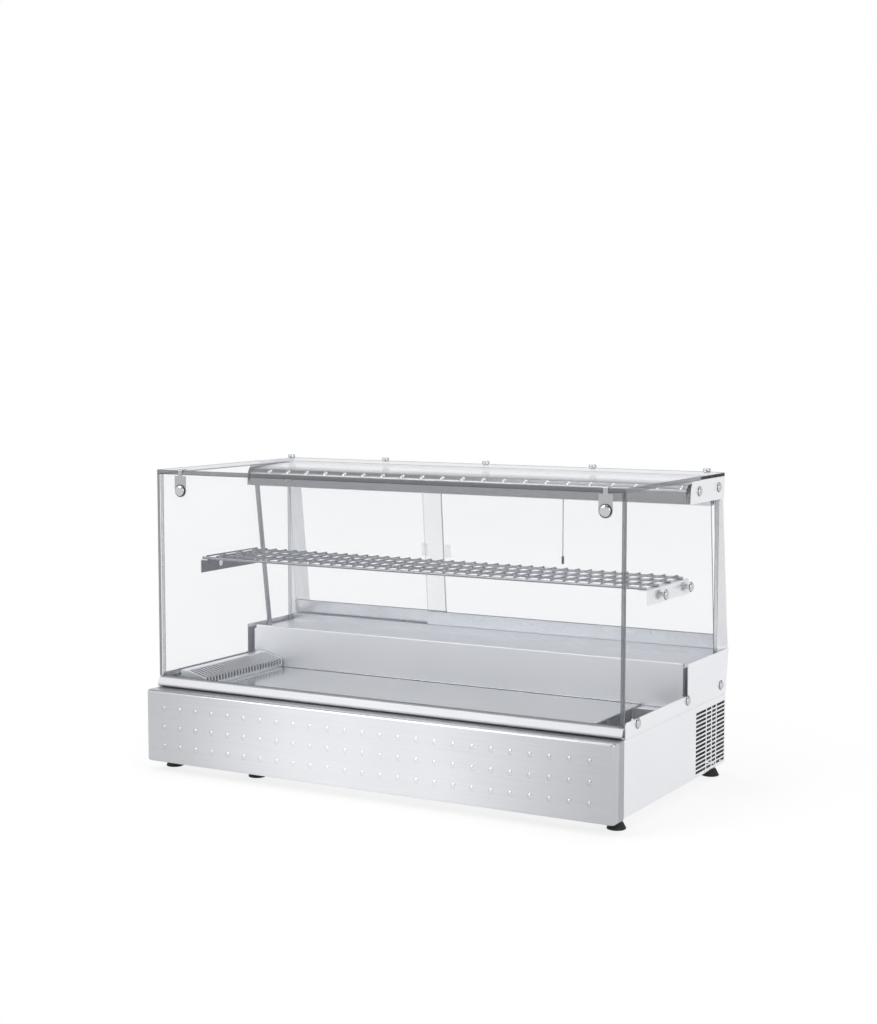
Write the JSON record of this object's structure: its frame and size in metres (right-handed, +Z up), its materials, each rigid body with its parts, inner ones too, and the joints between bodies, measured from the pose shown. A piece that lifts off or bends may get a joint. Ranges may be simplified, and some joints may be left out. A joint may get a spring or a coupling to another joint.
{
  "type": "refrigerated display case",
  "caption": "Countertop refrigerated display case: square glass box with a wire shelf on a stainless base, sliding doors at the leaning back, dotted front panel.",
  "frame": {"origin": "centre of the bounding box's footprint, on the counter under the feet", "axes": "X along the counter (longest side), +Y towards the sliding doors at the back, +Z up"},
  "size_m": [1.01, 0.5568, 0.602],
  "materials": {
    "steel": "satin brushed stainless",
    "bright_steel": "bright",
    "clear_glass": "clear, polished grey edges",
    "aluminium": "satin anodised",
    "gasket": "translucent grey",
    "black_rubber": "matt",
    "black_plastic": "matt",
    "rocker_plastic": "gloss",
    "grey_plastic": "matt",
    "foam": "matt foam",
    "black_paint": "satin black",
    "copper": "plain copper tube",
    "white_plastic": "satin"
  },
  "bodies": {
    "case": {"base_cabinet": "steel", "front_panel": "steel", "deck_rail": "steel", "rear_panel": "steel", "machine_cover": "steel", "side_plate_left": "steel", "side_plate_right": "steel", "header_channel": "steel", "header_cover": "steel", "header_end_plates": "steel", "cheek_left": "steel", "cheek_right": "steel", "glass_clips": "steel", "partition": "steel", "well_liner": "steel", "service_panel": "steel", "shelf_brackets": "steel", "fan_plates": "steel", "conduit_tube": "steel", "drip_tray": "steel", "dome_bolts": "bright_steel", "cover_knobs": "bright_steel", "panel_screws": "bright_steel", "glass_front": "clear_glass", "glass_top": "clear_glass", "glass_left": "clear_glass", "glass_right": "clear_glass", "door_tracks": "aluminium", "evaporator_coil": "aluminium", "condenser_coil": "aluminium", "glass_gaskets": "gasket", "feet": "black_rubber", "compressor_mounts": "black_rubber", "evaporator_fan_frame": "black_plastic", "condenser_fan_frame": "black_plastic", "cable_gland": "black_plastic", "switch_housings": "black_plastic", "thermostat_body": "black_plastic", "air_probe": "black_plastic", "terminal_box": "grey_plastic", "drain_pipe": "grey_plastic", "insulation": "foam", "compressor": "black_paint", "refrigerant_lines": "copper", "lamp_housing": "white_plastic", "lamp_diffuser": "white_plastic"},
    "left_door": {"door_left_glass": "clear_glass", "door_left_rail": "aluminium", "door_left_pull": "black_plastic"},
    "right_door": {"door_right_glass": "clear_glass", "door_right_rail": "aluminium", "door_right_pull": "black_plastic"},
    "deck_plate": {"deck_plate": "steel"},
    "intake_grille": {"return_grille": "steel"},
    "shelf": {"wire_shelf": "bright_steel"},
    "cold_fan_rotor": {"evaporator_fan_rotor": "black_plastic"},
    "hot_fan_rotor": {"condenser_fan_rotor": "black_plastic"},
    "power_rocker": {"power_rocker": "rocker_plastic"},
    "lamp_rocker": {"lamp_rocker": "rocker_plastic"},
    "thermostat_knob": {"thermostat_knob": "black_plastic"}
  },
  "joints": [
    {"name": "right_door_slide", "type": "slide", "parent": "case", "child": "right_door", "axis": [-1, 0, 0], "range_m": [0, 0.335]},
    {"name": "left_door_slide", "type": "slide", "parent": "case", "child": "left_door", "axis": [1, 0, 0], "range_m": [0, 0.597]},
    {"name": "deck_plate_lift", "type": "slide", "parent": "case", "child": "deck_plate", "axis": [0, 0, 1], "range_m": [0, 0.1]},
    {"name": "intake_grille_lift", "type": "slide", "parent": "case", "child": "intake_grille", "axis": [0, 0, 1], "range_m": [0, 0.1]},
    {"name": "shelf_lift", "type": "slide", "parent": "case", "child": "shelf", "axis": [0, 0, 1], "range_m": [0, 0.08]},
    {"name": "cold_fan_spin", "type": "hinge", "parent": "case", "child": "cold_fan_rotor", "pos_m": [-0.3875, -0.0866, 0.1075], "axis": [1, 0, 0], "continuous": true},
    {"name": "hot_fan_spin", "type": "hinge", "parent": "case", "child": "hot_fan_rotor", "pos_m": [0.416, 0.1694, 0.0785], "axis": [1, 0, 0], "continuous": true},
    {"name": "power_rocker_tilt", "type": "hinge", "parent": "case", "child": "power_rocker", "pos_m": [-0.42, 0.2564, 0.12], "axis": [1, 0, 0], "range_deg": [0, 16]},
    {"name": "lamp_rocker_tilt", "type": "hinge", "parent": "case", "child": "lamp_rocker", "pos_m": [-0.38, 0.2564, 0.12], "axis": [1, 0, 0], "range_deg": [0, 16]},
    {"name": "thermostat_turn", "type": "hinge", "parent": "case", "child": "thermostat_knob", "pos_m": [-0.32, 0.2694, 0.12], "axis": [0, -1, 0], "range_deg": [0, 270]}
  ]
}
